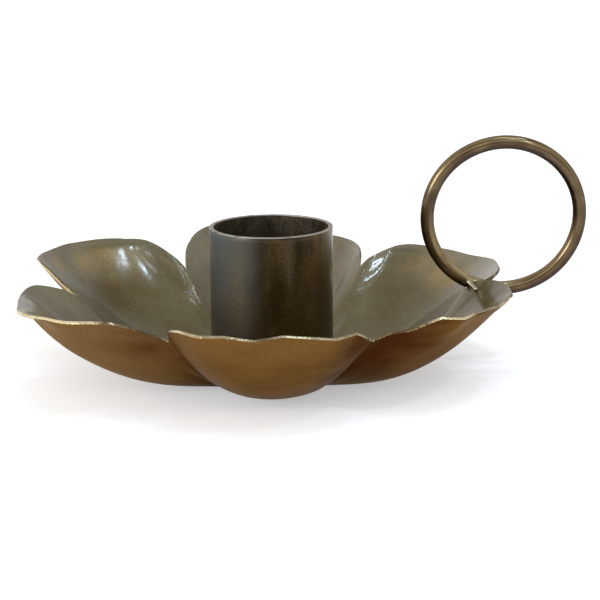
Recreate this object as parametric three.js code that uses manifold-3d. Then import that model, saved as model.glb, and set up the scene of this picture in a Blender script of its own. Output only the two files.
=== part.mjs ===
// Flower chamberstick in antiqued brass: a pressed dish of six petals, a candle cup and a ring handle.
// Millimetres, +Z up. The origin is the middle of the dish's foot, and +X runs from it to the ring.

import * as THREE from "three";
import { mergeVertices } from "three/addons/utils/BufferGeometryUtils.js";
import Module from "manifold-3d";

// Candle cup: drawn with its own floor and a slightly swelled lip, for a candle 22 mm thick
const CUP_BORE_RADIUS = 11.25;
const CUP_WALL = 0.8;
const CUP_FLOOR = 0.8;
const CUP_HEIGHT = 28.8;
const LIP_SWELL = 0.15; // how far the lip stands out from the tube
const LIP_HEIGHT = 1.2;

// Solder fillet round the cup's foot
const CUP_SOLDER_LEG = 1.0; // along the tube and along the dish's floor
const CUP_SOLDER_GAP = 0.1; // between the fillet and the tube

// Dish: one pressed sheet, flat where it stands
const SHEET = 0.8;
const FOOT_MARGIN = 0.1; // flat floor left round the cup's solder
const NOTCH_RADIUS = 37.1; // axis to the bottom of the notch between two petals
const NOTCH_HEIGHT = 13.8; // bottom of a notch above the table
const LEFT_NOTCH_RADIUS = 38.5; // the same two for the notch across from the ring
const LEFT_NOTCH_HEIGHT = 15.6;
const RING_NOTCH_RADIUS = 38.8; // and for the notch that takes the ring
const RING_NOTCH_HEIGHT = 16.6;
const PETAL_REACH = 50.9; // axis to the middle of a petal's rim
const PETAL_RISE = 5.2; // that point above the notches beside it
const BELLY_POWER = 2.25; // a petal's middle rises late, like a bowl
const DOMED_AT = 0.83; // way to a notch, as a share, where a petal's cross-section is drawn
const OUTLINE_POWER = 4; // how broad a petal is before its sides run in to the notches
const RIM_POWER = 8.5; // how far the rim runs level before it drops to the notches

// Petals, counter-clockwise from the one in front of the ring, each a little different from the next
const PETALS = [
  petal(0.961, 0.654, -0.212, 1.5, NOTCH_RADIUS, 0.957 * NOTCH_HEIGHT, 1.2),
  petal(0.961, 0.462, 0.346, 1.4, RING_NOTCH_RADIUS, RING_NOTCH_HEIGHT, 2.4),
  petal(1, 0.981, 0.365, 1.5, NOTCH_RADIUS, 0.993 * NOTCH_HEIGHT, 1.7),
  petal(1.016, 1.077, -0.212, 1.4, NOTCH_RADIUS, 0.957 * NOTCH_HEIGHT, 1.7),
  petal(1.043, 0.923, 0.077, 1.5, LEFT_NOTCH_RADIUS, LEFT_NOTCH_HEIGHT, 2.15),
  petal(1, 1.038, -0.019, 2.2, NOTCH_RADIUS, NOTCH_HEIGHT, 1.2),
];

// tilt: how much higher the far end of the rim is; dome: how flat the petal is across before it turns
// up to its creases; notch: where the notch at the near end is; crease: how late the crease there rises
function petal(reach, rise, tilt, dome, notchRadius, notchHeight, crease) {
  return {
    reach: reach * PETAL_REACH,
    rise: rise * PETAL_RISE,
    tilt: tilt * PETAL_RISE,
    dome,
    notchRadius,
    notchHeight,
    crease,
  };
}

// Ring handle: round wire that stands in a notch and leans to the front
const RING_RADIUS = 14.9; // to the middle of the wire
const WIRE_RADIUS = 1.27;
const RING_SEAT_OUT = -0.3; // middle of the wire beyond the bottom of its notch, where it is seated
const RING_SEAT_UP = 1.75; // the same point above the bottom of the notch
const RING_SEAT_ANGLE = THREE.MathUtils.degToRad(26.5); // from the ring's lowest point round to the seat
const RING_LEAN = THREE.MathUtils.degToRad(6.8);
const RING_TURN = THREE.MathUtils.degToRad(2);
const RING_CLEARANCE = 0.3; // between the wire and the edges of the notch

// Solder bead on the petal in front of the ring, in the corner beside the wire
const BEAD_LENGTH = 3.2; // along the wire
const BEAD_WIDTH = 1.8;
const BEAD_HEIGHT = 5;
const BEAD_OUT = 0.9; // middle of the bead beyond the ring's seat
const BEAD_GAP = 0.3; // to the wire and to the sheet
const BEAD_BED_REACH = 1.15; // how far the bead's bed runs past the rim, as a share of the petal

// Facets
const CUP_SIDES = 64;
const FILLET_STEPS = 3;
const PETAL_COLUMNS = 14;
const PETAL_RINGS = 9;
const RING_STEPS = 72;
const WIRE_SIDES = 12;
const BEAD_SIDES = 18;
const BEAD_RINGS = 12;

const cupRadius = CUP_BORE_RADIUS + CUP_WALL;
const filletInner = cupRadius + CUP_SOLDER_GAP;
const footRadius = filletInner + CUP_SOLDER_LEG + FOOT_MARGIN;
const beadFront = WIRE_RADIUS + BEAD_GAP + BEAD_WIDTH / 2; // middle of the wire to the middle of the bead
const petalHalfAngle = Math.PI / PETALS.length;

const wasm = await Module();
wasm.setup();

// A closed geometry as a solid that can be cut
function solidOf(geometry) {
  const bare = geometry.clone();
  bare.deleteAttribute("normal");
  bare.deleteAttribute("uv");
  const joined = mergeVertices(bare);
  const vertProperties = new Float32Array(joined.attributes.position.array);
  const triVerts = new Uint32Array(joined.index.array);
  return new wasm.Manifold(new wasm.Mesh({ numProp: 3, vertProperties, triVerts }));
}

function geometryOf(solid) {
  const { vertProperties, triVerts } = solid.getMesh();
  const geometry = new THREE.BufferGeometry();
  geometry.setAttribute("position", new THREE.BufferAttribute(vertProperties, 3));
  geometry.setIndex(new THREE.BufferAttribute(triVerts, 1));
  geometry.computeVertexNormals();
  return geometry;
}

function brass(color, roughness) {
  return new THREE.MeshStandardMaterial({ color, roughness, metalness: 1 });
}

function piece(name, geometry, material) {
  const mesh = new THREE.Mesh(geometry, material);
  mesh.name = name;
  return mesh;
}

function nextPetal(index) {
  return PETALS[(index + 1) % PETALS.length];
}

function rimRadius(index, across) {
  const { reach, notchRadius } = PETALS[index];
  const notchLine = THREE.MathUtils.lerp(notchRadius, nextPetal(index).notchRadius, (across + 1) / 2);
  return notchLine + (reach - notchLine) * (1 - Math.abs(across) ** OUTLINE_POWER);
}

function rimHeight(index, across) {
  const { rise, tilt, notchHeight } = PETALS[index];
  const notchLine = THREE.MathUtils.lerp(notchHeight, nextPetal(index).notchHeight, (across + 1) / 2);
  return notchLine + (rise + tilt * across) * (1 - Math.abs(across) ** RIM_POWER);
}

// How late a petal rises there, so that its cross-section is domed evenly from its middle to its creases
function risePower(index, across) {
  const drawnOut = DOMED_AT * (NOTCH_RADIUS - footRadius);
  const share = (at) => drawnOut / (rimRadius(index, at) - footRadius);
  const end = across < 0 ? -1 : 1;
  const crease = across < 0 ? PETALS[index].crease : nextPetal(index).crease;
  const middleHeight = rimHeight(index, 0) * share(0) ** BELLY_POWER;
  const creaseHeight = rimHeight(index, end) * share(end) ** crease;
  const height = THREE.MathUtils.lerp(middleHeight, creaseHeight, Math.abs(across) ** PETALS[index].dome);
  return Math.log(height / rimHeight(index, across)) / Math.log(share(across));
}

// A point of the sheet's under side: across runs from -1 to 1 between a petal's notches,
// along from 0 at the foot to 1 at the rim
function underside(index, across, along) {
  const radius = THREE.MathUtils.lerp(footRadius, rimRadius(index, across), along);
  const height = rimHeight(index, across) * along ** risePower(index, across);
  const angle = petalHalfAngle * (2 * index - 1 + across);
  return new THREE.Vector3(radius * Math.cos(angle), radius * Math.sin(angle), height);
}

// The sheet's direction of thickness, from the slopes of one petal
function petalNormal(index, across, along) {
  const step = 1e-3;
  const left = underside(index, Math.max(across - step, -1), along);
  const right = underside(index, Math.min(across + step, 1), along);
  const inward = underside(index, across, along - step);
  const outward = underside(index, across, along + step);
  return outward.sub(inward).cross(right.sub(left)).normalize();
}

// The same on a crease, where the two petals' skins meet in a mitre
function creaseNormal(index, along) {
  const before = petalNormal((index + PETALS.length - 1) % PETALS.length, 1, along);
  const after = petalNormal(index, -1, along);
  const middle = before.clone().add(after).normalize();
  return middle.divideScalar(middle.dot(after));
}

// A solid in the form of the dish: its over side lies a thickness over the under side's shape,
// its lower side a drop straight below it, and reach is where it ends, 1 at the rim
function dishForm(thickness, drop, reach) {
  const columns = PETALS.length * PETAL_COLUMNS;
  const rings = PETAL_RINGS + 1;
  const under = [];
  const over = [];
  for (let column = 0; column < columns; column++) {
    const index = Math.floor(column / PETAL_COLUMNS);
    const share = (column % PETAL_COLUMNS) / PETAL_COLUMNS;
    const across = -Math.cos(Math.PI * share);
    for (let ring = 0; ring < rings; ring++) {
      const along = (reach * ring) / PETAL_RINGS;
      const point = underside(index, across, along);
      let normal = new THREE.Vector3(0, 0, 1);
      if (ring > 0) {
        normal = share === 0 ? creaseNormal(index, along) : petalNormal(index, across, along);
      }
      over.push(point.clone().addScaledVector(normal, thickness));
      under.push(point.setZ(point.z - drop));
    }
  }
  const overStart = under.length;
  const underMiddle = 2 * overStart;
  const overMiddle = underMiddle + 1;
  const points = [...under, ...over, new THREE.Vector3(0, 0, -drop), new THREE.Vector3(0, 0, thickness)];
  const triangles = [];
  const quad = (a, b, c, d) => triangles.push(a, b, c, a, c, d);
  for (let column = 0; column < columns; column++) {
    const here = column * rings;
    const next = ((column + 1) % columns) * rings;
    triangles.push(underMiddle, next, here);
    triangles.push(overMiddle, overStart + here, overStart + next);
    for (let ring = 0; ring < PETAL_RINGS; ring++) {
      const a = here + ring;
      const b = next + ring;
      quad(a, b, b + 1, a + 1);
      quad(overStart + a, overStart + a + 1, overStart + b + 1, overStart + b);
    }
    const rimHere = here + PETAL_RINGS;
    const rimNext = next + PETAL_RINGS;
    quad(rimHere, rimNext, overStart + rimNext, overStart + rimHere);
  }
  const geometry = new THREE.BufferGeometry().setFromPoints(points);
  geometry.setIndex(triangles);
  return geometry;
}

// Lathes and cylinders turn round Y, so they are stood up
function upright(geometry) {
  return geometry.rotateX(Math.PI / 2);
}

// A tube joined to a floor disc that ends inside its wall; both stand on the dish's floor
function candleCup() {
  const top = SHEET + CUP_HEIGHT;
  const outline = [
    [CUP_BORE_RADIUS, SHEET],
    [cupRadius, SHEET],
    [cupRadius, top - LIP_HEIGHT],
    [cupRadius + LIP_SWELL, top - LIP_HEIGHT / 2],
    [cupRadius + LIP_SWELL, top],
    [CUP_BORE_RADIUS, top],
    [CUP_BORE_RADIUS, SHEET],
  ];
  const tube = upright(new THREE.LatheGeometry(outline.map(([r, z]) => new THREE.Vector2(r, z)), CUP_SIDES));
  const discRadius = CUP_BORE_RADIUS + CUP_WALL / 2;
  const disc = upright(new THREE.CylinderGeometry(discRadius, discRadius, CUP_FLOOR, CUP_SIDES));
  disc.translate(0, 0, SHEET + CUP_FLOOR / 2);
  return geometryOf(solidOf(tube).add(solidOf(disc)));
}

// Hollow fillet in the corner between the tube and the floor
function cupSolder() {
  const outline = [new THREE.Vector2(filletInner, SHEET)];
  for (let step = 0; step <= FILLET_STEPS; step++) {
    const angle = (Math.PI / 2) * (step / FILLET_STEPS);
    const radius = filletInner + CUP_SOLDER_LEG * (1 - Math.sin(angle));
    const height = SHEET + CUP_SOLDER_LEG * (1 - Math.cos(angle));
    outline.push(new THREE.Vector2(radius, height));
  }
  outline.push(outline[0].clone());
  return upright(new THREE.LatheGeometry(outline, CUP_SIDES));
}

// Frame of the ring: its origin is the seat in the notch, its X and Z lie in the ring's plane
const ringFrame = new THREE.Group();
ringFrame.position.set(RING_NOTCH_RADIUS + RING_SEAT_OUT, 0, RING_NOTCH_HEIGHT + RING_SEAT_UP);
ringFrame.rotation.set(RING_LEAN, 0, RING_TURN, "ZYX");
ringFrame.updateMatrixWorld(true);

// A ring in that frame that passes through the seat
function wireRing(wireRadius) {
  const across = RING_RADIUS * Math.sin(RING_SEAT_ANGLE);
  const up = RING_RADIUS * Math.cos(RING_SEAT_ANGLE);
  const ring = new THREE.TorusGeometry(RING_RADIUS, wireRadius, WIRE_SIDES, RING_STEPS);
  return ring.rotateX(Math.PI / 2).translate(across, 0, up);
}

// A lump whose middle lies on the petal, cut back to the wire and to the bed that the petal gives it
function ringBead() {
  const middle = new THREE.Vector3(BEAD_OUT, -beadFront, 0).applyMatrix4(ringFrame.matrixWorld);
  const across = 1 + Math.atan2(middle.y, middle.x) / petalHalfAngle;
  const along = (Math.hypot(middle.x, middle.y) - footRadius) / (rimRadius(0, across) - footRadius);
  middle.z = underside(0, across, along).z + SHEET + BEAD_GAP;
  const lump = new THREE.SphereGeometry(0.5, BEAD_SIDES, BEAD_RINGS);
  lump.scale(BEAD_LENGTH, BEAD_WIDTH, BEAD_HEIGHT).rotateY(RING_SEAT_ANGLE).translate(...middle);
  const wire = wireRing(WIRE_RADIUS + BEAD_GAP).applyMatrix4(ringFrame.matrixWorld);
  const bed = dishForm(SHEET + BEAD_GAP, BEAD_HEIGHT, BEAD_BED_REACH);
  return geometryOf(solidOf(lump).subtract(solidOf(wire)).subtract(solidOf(bed)));
}

const ringSlot = wireRing(WIRE_RADIUS + RING_CLEARANCE).applyMatrix4(ringFrame.matrixWorld);
const flowerDish = geometryOf(solidOf(dishForm(SHEET, 0, 1)).subtract(solidOf(ringSlot)));

const patina = brass(0x6e5a34, 0.35);
const darkened = brass(0x3a2c18, 0.35);
const drawnWire = brass(0x6b5433, 0.4);
const solder = brass(0xb9ab8c, 0.3);

ringFrame.add(piece("ring_handle", wireRing(WIRE_RADIUS), drawnWire));

const chamberstick = new THREE.Group();
chamberstick.add(
  piece("flower_dish", flowerDish, patina),
  piece("candle_cup", candleCup(), darkened),
  piece("cup_solder_ring", cupSolder(), solder),
  ringFrame,
  piece("ring_solder_bead", ringBead(), solder),
);

export default chamberstick;
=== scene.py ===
"""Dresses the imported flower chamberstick: hand-cut petals, a lacquered cup, a wire ring and its solder."""

import math

import bmesh
import bpy
import numpy as np
from bpy.props import FloatProperty, FloatVectorProperty, PointerProperty
from bpy.types import Operator, Panel, PropertyGroup
from mathutils import Matrix, Vector, noise


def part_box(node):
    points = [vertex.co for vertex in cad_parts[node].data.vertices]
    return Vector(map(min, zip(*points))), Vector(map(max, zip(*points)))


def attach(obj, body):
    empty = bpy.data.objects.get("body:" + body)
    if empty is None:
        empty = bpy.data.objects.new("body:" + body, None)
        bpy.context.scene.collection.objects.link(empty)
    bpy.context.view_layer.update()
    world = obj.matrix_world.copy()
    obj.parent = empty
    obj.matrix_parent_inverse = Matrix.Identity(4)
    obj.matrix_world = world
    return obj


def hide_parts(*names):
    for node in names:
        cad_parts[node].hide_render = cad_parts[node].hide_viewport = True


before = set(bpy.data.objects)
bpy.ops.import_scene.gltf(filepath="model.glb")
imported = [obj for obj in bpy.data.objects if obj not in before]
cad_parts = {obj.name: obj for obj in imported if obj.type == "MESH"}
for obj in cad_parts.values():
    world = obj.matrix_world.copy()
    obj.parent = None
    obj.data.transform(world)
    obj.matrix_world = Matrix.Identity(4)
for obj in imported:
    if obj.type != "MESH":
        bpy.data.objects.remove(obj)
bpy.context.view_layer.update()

bl_info = {
    "name": "Flower chamberstick",
    "version": (1, 0, 0),
    "blender": (4, 5, 0),
    "location": "3D View > Sidebar > Chamberstick",
    "description": "Dresses a flower-shaped brass chamberstick and sets it on a white table",
    "category": "Object",
}

MM = 0.001
CUP_LOW, CUP_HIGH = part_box("candle_cup")

# Where across a petal, from one notch at -1 to the next at 1, its bareness and its snips are given
BARE_AT = (-1, -0.8, -0.6, -0.3, 0, 0.3, 0.6, 0.8, 1)
CUT_AT = (-1, -0.93, -0.82, -0.66, -0.48, -0.3, -0.1, 0.1, 0.3, 0.48, 0.66, 0.82, 0.93, 1)

# Each petal, counter-clockwise from the one in front of the ring: how far it departs from the usual
# petal, how late the crease at its near end rises, how flat it is across before it turns up to its
# creases, how thick the sheet is left at its rim, how much the rim is bent flat in mm and from where to
# where, how bare its cut edge is, and where the snips left the rim, outwards and upwards in mm
PETALS = (
    {"reach": 0.961, "rise": 0.654, "tilt": -0.212, "notch": 0.957, "crease": 1.2,
     "dome": 1.5, "sheet": 0.75, "lip": (0.4, -0.1, 0.35),
     "bare": (0.2, 0.2, 1, 0.5, 0.45, 0.6, 0.5, 0.3, 0.2),
     "out": (0, 0.2, 0.7, 1.7, 1.5, 0.5, 0, -0.4, -0.1, -0.1, -0.3, 0.1, 0.7, 1.7),
     "up": (0, 0.2, -0.3, 1.4, 0.5, 0.6, 0, -0.8, -0.2, -0.9, 0, 0.2, 0.3, -0.4)},
    {"reach": 0.961, "rise": 0.462, "tilt": 0.346, "notch": None, "crease": 2.4,
     "dome": 1.4, "sheet": 0.65, "lip": (0.5, 0.15, 0.9),
     "bare": (0.3, 0.3, 0.3, 0.3, 0.5, 0.6, 0.4, 0.3, 0.3),
     "out": (1.7, 0.9, 0.2, -0.3, -0.5, 0, 0.2, 0, 0, -0.2, -0.2, 0.8, -0.3, 0),
     "up": (-0.4, -0.3, -0.2, 0.2, 0.5, 0.6, 0, -0.4, -0.5, -0.5, 0, 0.1, 0.3, 0)},
    {"reach": 1, "rise": 0.981, "tilt": 0.365, "notch": 0.993, "crease": 1.7,
     "dome": 1.5, "sheet": 0.65, "lip": (0.05, -0.6, 0.6),
     "bare": (0.35, 0.3, 0.3, 0.3, 0.35, 0.4, 0.35, 0.3, 0.3),
     "out": (0, -0.1, -0.3, -0.3, 0, 0, 0, 0, 0, 0.1, -0.3, -0.9, -0.1, 0),
     "up": (0, 0.9, 0.4, -0.2, -0.5, -0.2, 0, 0.1, 0.3, 0.8, 0.1, -0.4, -0.1, 0)},
    {"reach": 1.016, "rise": 1.077, "tilt": -0.212, "notch": 0.957, "crease": 1.7,
     "dome": 1.4, "sheet": 0.4, "lip": (0.55, -0.9, -0.1),
     "bare": (0.25, 0.3, 0.4, 0.5, 0.45, 0.3, 0.1, 0.1, 0.1),
     "out": (0, -0.4, 0.6, 0, -0.3, -0.1, -0.2, -0.3, -0.8, -1.1, -1.3, -0.3, 1, 1.4),
     "up": (0, -0.1, 0, -0.6, -0.3, 0, 0.4, 0.5, 0.7, 0.7, 1.5, 1.3, 0.8, 0.6)},
    {"reach": 1.043, "rise": 0.923, "tilt": 0.077, "notch": 1.087, "crease": 2.15,
     "dome": 1.5, "sheet": 0.8, "lip": (1.5, -0.45, 0.1),
     "bare": (0.4, 0.4, 0.35, 0.45, 0.75, 1, 1, 0.3, 0.25),
     "out": (1.4, 0.8, 0.5, -1.2, -2.3, -1.8, 0, 0.1, 0, 0, 0, 2, -0.5, 0),
     "up": (0.6, 0.6, 0.3, -0.7, -1.2, -1.3, -1.2, -0.9, -0.2, -0.1, 0.4, 1.1, -0.4, 0)},
    {"reach": 1, "rise": 1.038, "tilt": -0.019, "notch": 1, "crease": 1.2,
     "dome": 2.2, "sheet": 0.8, "lip": (0.05, -0.6, 0.6),
     "bare": (0.6, 0.65, 0.6, 0.5, 0.45, 0.5, 0.6, 0.6, 0.5),
     "out": (0, -0.9, -0.5, -0.2, 0.3, 0.2, 0.4, -0.1, -0.2, -1.4, -1.9, -0.9, -0.2, 0),
     "up": (0, -0.2, -0.1, 0.3, 0.1, 0.4, -0.2, 0.7, 0.2, -0.7, -0.3, -1.8, -0.6, 0)},
)

# How the sheet is domed, as in the solids
BELLY_POWER = 2.25
DOMED_AT = 0.83
OUTLINE_POWER = 4
RIM_POWER = 8.5

# How late the snips bend a petal up or down
SNIP_POWER = 6

# Share of the way to the rim where a lip starts to turn up, and where it is bent flat; how far across
# the bend takes to start and to end
LIP_FROM = 0.74
LIP_AT = 0.945
LIP_EASE = (0.15, 0.2)

# Share of the sheet left at the rim on a crease, how far across it starts, from where on the way to the rim
# the sheet gets thinner, and the fold's width
CREASE_SHEET = 0.6
CREASE_FROM = 0.85
THIN_FROM = 0.3
CREASE_WIDTH = 0.17 * MM

# Uneven spots in the sheet: their height, size and seed, and how soon past the foot they start; the burr
# on its cut edge, what it varies by, how long its teeth are and their seed
SPOTS = ((0.11 * MM, 9 * MM, 1), (0.03 * MM, 4 * MM, 2))
SPOTS_START = 4
BURR, BURR_CHANGE, BURR_TOOTH, BURR_SEED = 0.07 * MM, 0.06 * MM, 0.8 * MM, 3

# Stains, painted shade and reflection inside: the petal, the middle across and along, the half widths, and
# the depth
STAINS = (
    (0, 0.74, 0.95, 0.07, 0.05, 0.4),
    (0, 0.63, 0.905, 0.07, 0.05, 0.6),
    (0, 0.87, 0.86, 0.025, 0.1, 0.75),
    (1, -0.94, 0.72, 0.03, 0.1, 0.5),
    (1, 0.62, 0.91, 0.2, 0.06, 0.25),
    (1, 0.72, 0.955, 0.12, 0.015, 0.5),
    (2, -0.82, 0.7, 0.015, 0.09, 0.8),
    (2, -0.64, 0.92, 0.12, 0.08, 0.45),
    (3, -0.5, 0.95, 0.35, 0.012, 0.4),
    (4, -0.28, 0.955, 0.06, 0.025, 0.6),
)

# The cup: its eased foot, how far its lip is sawn bright, how far the tube and its solder waver, over what
# length and by what seed
CUP_EASE = 0.2 * MM
SAWN_DEPTH = 0.15 * MM
CUP_WAVER = 0.06 * MM
FILLET_WAVER = 0.1 * MM
WAVER_SIZE, WAVER_SEED = 14 * MM, 4

# The ring: its seat outwards and upwards from the bottom of the notch, how it turns and leans, from its
# lowest point round to the seat, and how far, over what length and by what seed its bend wavers
SEAT_OUT, SEAT_UP = 1.5 * MM, 1.25 * MM
RING_TURN, RING_LEAN, SEAT_ANGLE = math.radians(2), math.radians(6.8), math.radians(26.5)
BEND_WAVER, BEND_SIZE, BEND_SEED = 0.1 * MM, 16 * MM, 5

# Solder at the ring, in mm: both ends of the run, and each drop's place, radius and stretch
NUB_RUN = ((38.63, -1.5, 18.4), (39.8, -2.8, 17.4))
NUB_RUN_DROP = (0.5, (1, 1, 0.95))
NUB_DROPS = (((39.9, -2.95, 17.25), 0.58, (1, 1, 0.9)), ((38.1, -1.6, 17.1), 0.36, (1.2, 1, 0.9)))

# What the browned backs and the wire reflect at a low angle
BACK_GLANCE = "#DDCDBA"
WIRE_GLANCE = "#8C7552"

# Panes of the skylight: place and size in metres, and power in watts
SKYLIGHTS = (
    ("skylight_1", (0.230, 0.045, 0.565), (0.045, 0.035), 0.22),
    ("skylight_2", (0.085, -0.009, 0.565), (0.030, 0.035), 0.21),
    ("skylight_3", (0.019, -0.083, 0.565), (0.030, 0.035), 0.05),
    ("skylight_4", (-0.022, -0.222, 0.565), (0.025, 0.025), 0.11),
    ("skylight_5", (0.350, -0.310, 0.565), (0.075, 0.065), 0.75),
    ("skylight_6", (0.175, -0.185, 0.565), (0.045, 0.045), 0.3),
)
SKYLIGHT_TINT = "#D2E6FF"

# Soft lamps that face the middle of the dish, given in the same way
SOFT_LAMPS = (
    ("soft_left", (-0.68, -0.46, 0.20), (0.3, 0.3), 3.2),
    ("soft_front", (0.0, -0.66, 0.45), (1.2, 0.16), 1.6),
)
SOFT_TINT = "#F4F8FF"

# The room: the ways to its dim far corner and to the brighter side of its ceiling, the heights where the
# walls end and the ceiling starts, and how bright it is to surfaces that aren't shiny
FAR_CORNER = (0.45, 0.84, 0.3)
BRIGHT_SIDE = (-0.45, 0.35, 0.0)
WALL_TOP, CEILING_EDGE = math.sin(math.radians(38)), math.sin(math.radians(52))
ROOM_LEVEL = 0.75

# The table's half width in metres and the hair it lies below the foot; what lifts it to white
TABLE_HALF = 4
TABLE_DROP = 0.05 * MM
TABLE_LIFT = 0.42

# The camera: sensor and lens in mm, how it is raised and rolled, what it aims at and from how far
SENSOR, LENS = 36.0, 135.24
CAMERA_RISE, CAMERA_ROLL = math.radians(13.15), math.radians(0.52)
CAMERA_AIM, CAMERA_BACK = Vector((5.56, 0, 14.66)) * MM, 444.3 * MM

# Steps of the meshes, how they crowd towards a petal's creases and rim, and the foot's rings as shares
PETAL_COLUMNS = 60
PETAL_RINGS = 36
COLUMN_CROWDING = 0.6
RING_CROWDING = 1.25
FOOT_RINGS = (0.4, 0.75)
CUP_SIDES = 160
CUP_RINGS = 22
BORE_RINGS = 20
FILLET_STEPS = 8
RING_STEPS = 200
WIRE_SIDES = 28
NUB_STEPS = 5

# How far apart the patterns of two seeds lie
SEED_STEP = (7.31, 3.17, 5.53)

# Rows of the dish's skin that the materials go by, and the rows of its cut edge: how far up through
# the sheet, and how far out as a share of the burr
INSIDE, OUTSIDE, CUT_EDGE = range(3)
EDGE_ROWS = ((0.14, 0.8), (0.45, 1.0), (0.74, 0.9))


def linear(hex_code):
    """An sRGB hex colour as linear red, green and blue."""
    channels = [int(hex_code[i:i + 2], 16) / 255 for i in (1, 3, 5)]
    return tuple(c / 12.92 if c <= 0.04045 else ((c + 0.055) / 1.055) ** 2.4 for c in channels)


def length(name, description, default):
    return FloatProperty(name=name, description=description, default=default, min=0.0, unit="LENGTH")


def colour(name, description, hex_code):
    return FloatVectorProperty(
        name=name, description=description, default=linear(hex_code),
        size=3, min=0.0, max=1.0, subtype="COLOR",
    )


class ChamberstickSizes(PropertyGroup):
    """Sizes of the pieces"""

    sheet: length("Sheet", "Thickness of the dish's sheet", CUP_LOW.z)
    foot_radius: length("Foot radius", "Flat round that the dish stands on", 13.25 * MM)
    notch_radius: length("Notch radius", "Axis to the bottom of the notch between two petals", 37.1 * MM)
    notch_height: length("Notch height", "Bottom of a notch above the table", 13.8 * MM)
    ring_notch_height: length("Ring notch height", "Bottom of the notch that takes the ring", 17.0 * MM)
    petal_reach: length("Petal reach", "Axis to the middle of a petal's rim", 50.9 * MM)
    petal_rise: length("Petal rise", "Middle of a rim above the notches beside it", 5.2 * MM)
    cup_top: length("Cup top", "Height of the cup's lip above the table", CUP_HIGH.z)
    cup_bore: length("Cup bore", "Radius of the cup's inside", 11.25 * MM)
    cup_wall: length("Cup wall", "Thickness of the cup's wall", 0.8 * MM)
    lip_swell: length("Lip swell", "How far the lip stands out from the tube", 0.08 * MM)
    ring_radius: length("Ring radius", "Radius of the ring to the middle of its wire", 14.9 * MM)
    wire_radius: length("Wire radius", "Radius of the ring's wire", 1.33 * MM)
    solder_leg: length("Solder leg", "Width of the solder round the cup's foot", 1.0 * MM)


class ChamberstickFinish(PropertyGroup):
    """Colours of the finishes"""

    inside_dark: colour("Inside, olive", "Patina in the bowls of the petals", "#5D4D28")
    # The gold also paints a glow of the window lights in the upper bowls
    inside_gold: colour("Inside, gold", "Brass that shows through in the middle of the petals", "#A3884A")
    # The grey also paints the walls' reflection on the lips
    inside_pale: colour("Inside, grey", "Patina where it is rubbed thin", "#766D52")
    # The stain colour also paints shade, and a reflection of the ring's dark corner
    inside_stain: colour("Inside, stain", "Dark marks on the petals", "#3B2D14")
    # The dark brown also paints shade in the creases and near the foot
    outside_dark: colour("Outside, dark", "Brown of the petals' backs towards the creases", "#432112")
    outside_gold: colour("Outside, gold", "Brown of the petals' backs where it is rubbed", "#76552D")
    outside_tan: colour("Outside, tan", "Paler brown of the backs away from the ring", "#7B6446")
    cut_edge: colour("Cut edge", "Bare metal where the rim was snipped", "#E8D7AE")
    edge_stain: colour("Edge stain", "Patina left on the cut edge", "#5E5036")
    cup_dark: colour("Cup, dark", "Darkened wall of the cup", "#2B1E0C")
    cup_brown: colour("Cup, brown", "Wall of the cup where the darkening is thin", "#594626")
    # This grey paints the reflection of the room's bright left side on the cup
    cup_bloom: colour("Cup, bloom", "Grey bloom on the side away from the ring", "#616460")
    cup_inside: colour("Cup, inside", "Dull wall inside the cup", "#4E4635")
    cup_lip: colour("Cup lip", "Lip of the cup, rubbed bright", "#A09A8E")
    # The wire's brown also paints shade below it, and its olive painted light on its top
    wire_dark: colour("Wire, brown", "Patina of the ring's wire", "#3A2613")
    wire_pale: colour("Wire, olive", "Patina of the wire where hands rub it", "#84704A")
    solder: colour("Solder", "Bare solder", "#B9AE97")
    floor: colour("Table", "Table that the chamberstick stands on", "#E7E7E5")


# Shapes


def wobble(points, size, seed):
    """Smooth random numbers from -1 to 1 at these points, whose hills are about this size across."""
    shift = Vector([seed * step for step in SEED_STEP])
    flat = points.reshape(-1, 3) / size
    return np.array([noise.noise(Vector(p) + shift) for p in flat]).reshape(points.shape[:-1])


def petal_rim(index, across, sizes):
    """Radius and height of one petal's rim, before the snips bent it."""
    petal = PETALS[index]
    usual, deep = sizes.notch_height, sizes.ring_notch_height
    notches = [deep if p["notch"] is None else p["notch"] * usual for p in PETALS]
    near, far = notches[index], notches[(index + 1) % len(PETALS)]
    side = np.abs(across)
    reach = petal["reach"] * sizes.petal_reach
    radius = sizes.notch_radius + (reach - sizes.notch_radius) * (1 - side**OUTLINE_POWER)
    rise = sizes.petal_rise * (petal["rise"] + petal["tilt"] * across)
    height = near + (far - near) * (across + 1) / 2 + rise * (1 - side**RIM_POWER)
    return radius + np.interp(across, CUT_AT, petal["out"]) * MM, height


def petal_power(index, across, sizes):
    """How late a petal rises there, so that it is domed evenly from its middle to its creases."""
    near, far = (PETALS[i % len(PETALS)]["crease"] for i in (index, index + 1))
    drawn_at = sizes.foot_radius + DOMED_AT * (sizes.notch_radius - sizes.foot_radius)

    def share(radius):
        return (drawn_at - sizes.foot_radius) / (radius - sizes.foot_radius)

    middle_radius, middle_height = petal_rim(index, 0.0, sizes)
    middle = middle_height * share(middle_radius) ** BELLY_POWER
    crease_radius, crease_height = petal_rim(index, np.sign(across), sizes)
    crease = crease_height * share(crease_radius) ** np.where(across < 0, near, far)
    domed = middle + (crease - middle) * np.abs(across) ** PETALS[index]["dome"]
    rim_radius, rim_height = petal_rim(index, across, sizes)
    return np.log(domed / rim_height) / np.log(share(rim_radius))


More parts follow.
